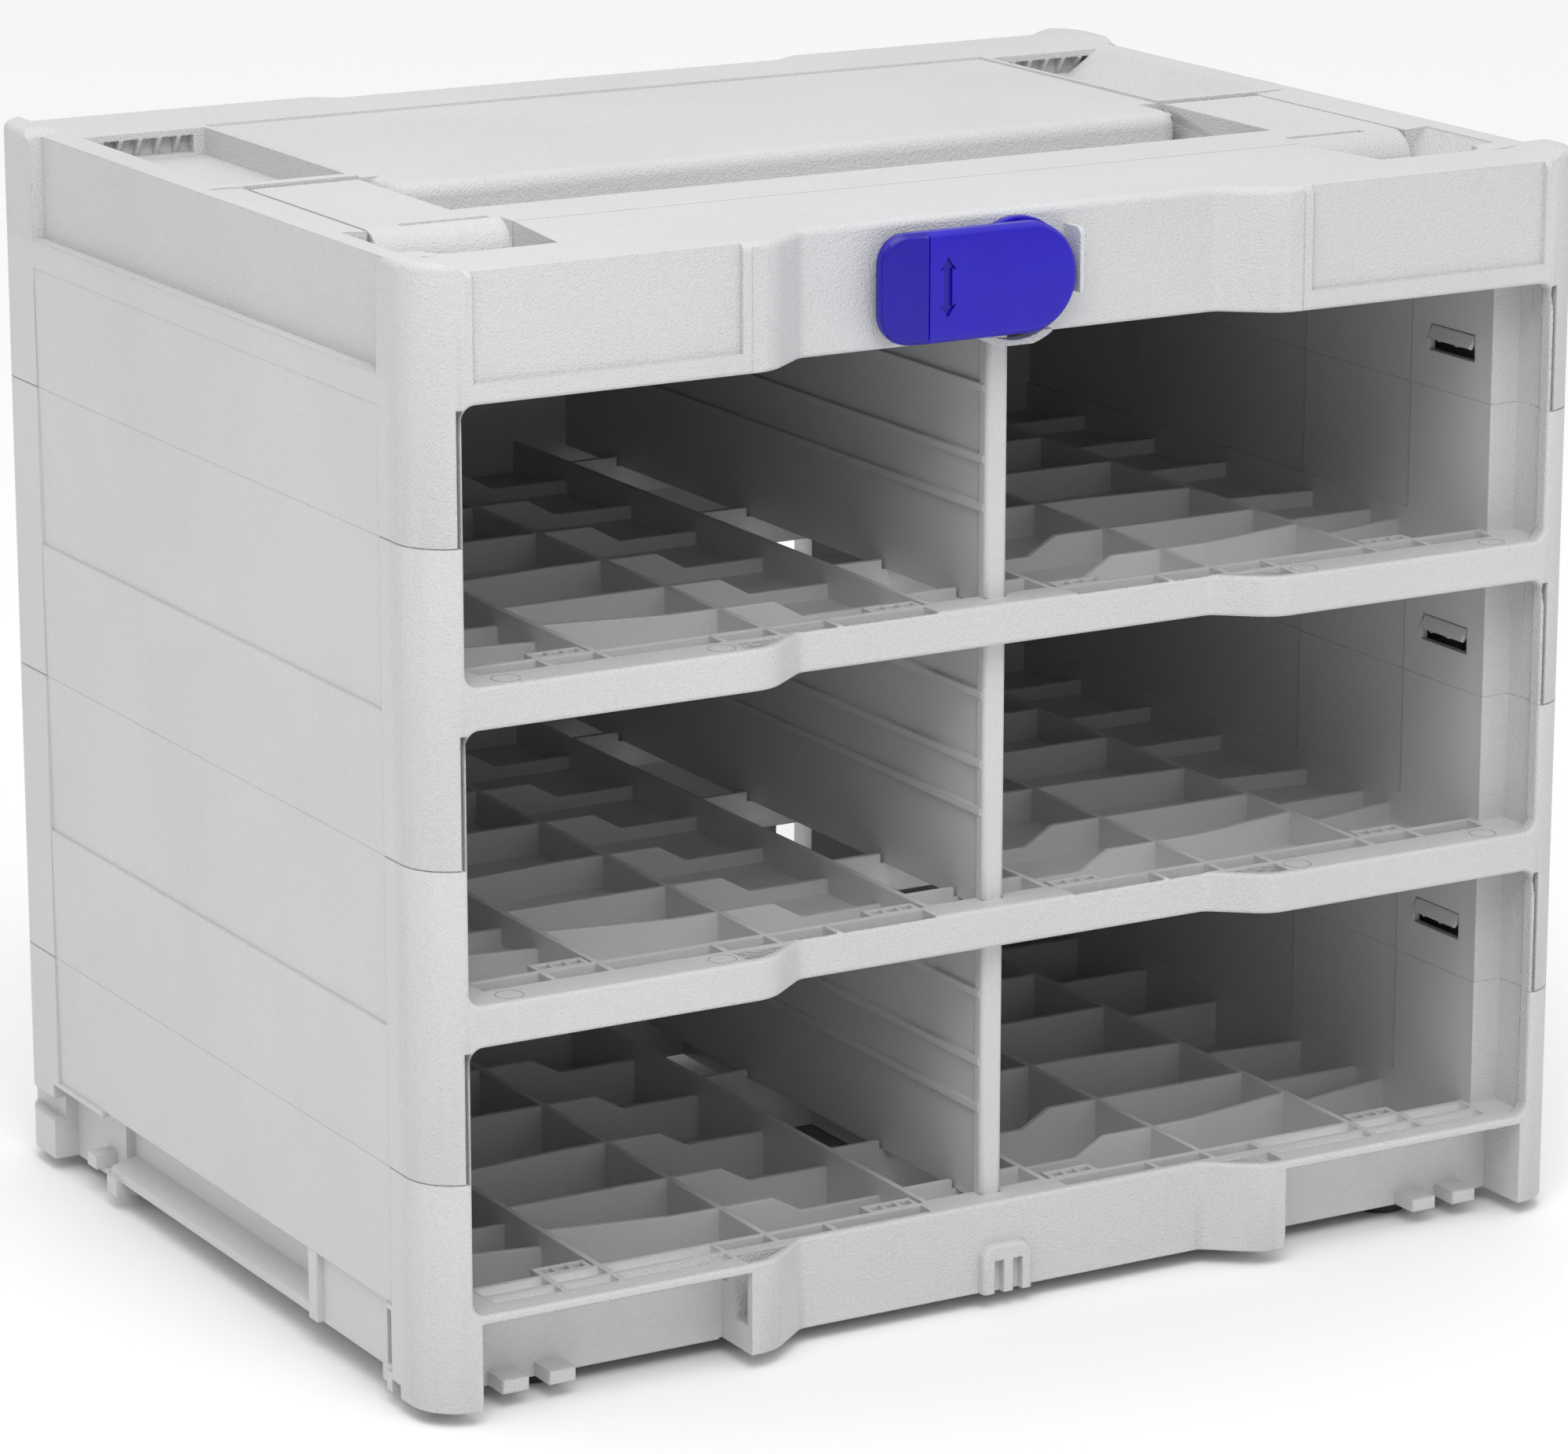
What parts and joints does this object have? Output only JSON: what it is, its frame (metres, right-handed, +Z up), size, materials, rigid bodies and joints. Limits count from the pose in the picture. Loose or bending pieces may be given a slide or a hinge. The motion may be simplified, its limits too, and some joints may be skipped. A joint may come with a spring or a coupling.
{
  "type": "small-parts drawer rack",
  "caption": "Stackable open-front rack with bays in rows for small-parts drawers, ribbed floors, centre dividers, fold-flat carry handle and a turn latch on the front.",
  "frame": {"origin": "middle of the footprint, on the surface that the rubber feet stand on", "axes": "+X to the right seen from the open front, +Y to the rear, +Z up"},
  "size_m": [0.396, 0.296, 0.337],
  "materials": {
    "rack_plastic": "light grey, fine spark-eroded grain outside and smooth satin inside",
    "latch_plastic": "blue-violet, satin",
    "rubber": "matte dark grey",
    "steel": "zinc-plated"
  },
  "bodies": {
    "rack": {"base_tray": "rack_plastic", "lower_shelf": "rack_plastic", "upper_shelf": "rack_plastic", "top_housing": "rack_plastic", "divider_bottom": "rack_plastic", "drawer_catch_bottom_left": "rack_plastic", "drawer_catch_bottom_right": "rack_plastic", "divider_middle": "rack_plastic", "drawer_catch_middle_left": "rack_plastic", "drawer_catch_middle_right": "rack_plastic", "divider_top": "rack_plastic", "drawer_catch_top_left": "rack_plastic", "drawer_catch_top_right": "rack_plastic", "handle_pin_left": "steel", "rubber_foot_front_left": "rubber", "rubber_foot_rear_left": "rubber", "handle_pin_right": "steel", "rubber_foot_front_right": "rubber", "rubber_foot_rear_right": "rubber", "storey_screws_lower": "steel", "storey_screws_middle": "steel", "storey_screws_upper": "steel"},
    "handle": {"carry_handle": "rack_plastic"},
    "latch": {"latch_lever": "latch_plastic", "latch_cam": "latch_plastic", "latch_washer": "steel", "latch_screw": "steel"}
  },
  "joints": [
    {"name": "handle_pivot", "type": "hinge", "parent": "rack", "child": "handle", "pos_m": [0, -0.0015, 0.3305], "axis": [-1, 0, 0], "range_deg": [0, 90]},
    {"name": "latch_turn", "type": "hinge", "parent": "rack", "child": "latch", "pos_m": [0, -0.14, 0.3153], "axis": [0, 1, 0], "range_deg": [-90, 90]}
  ]
}
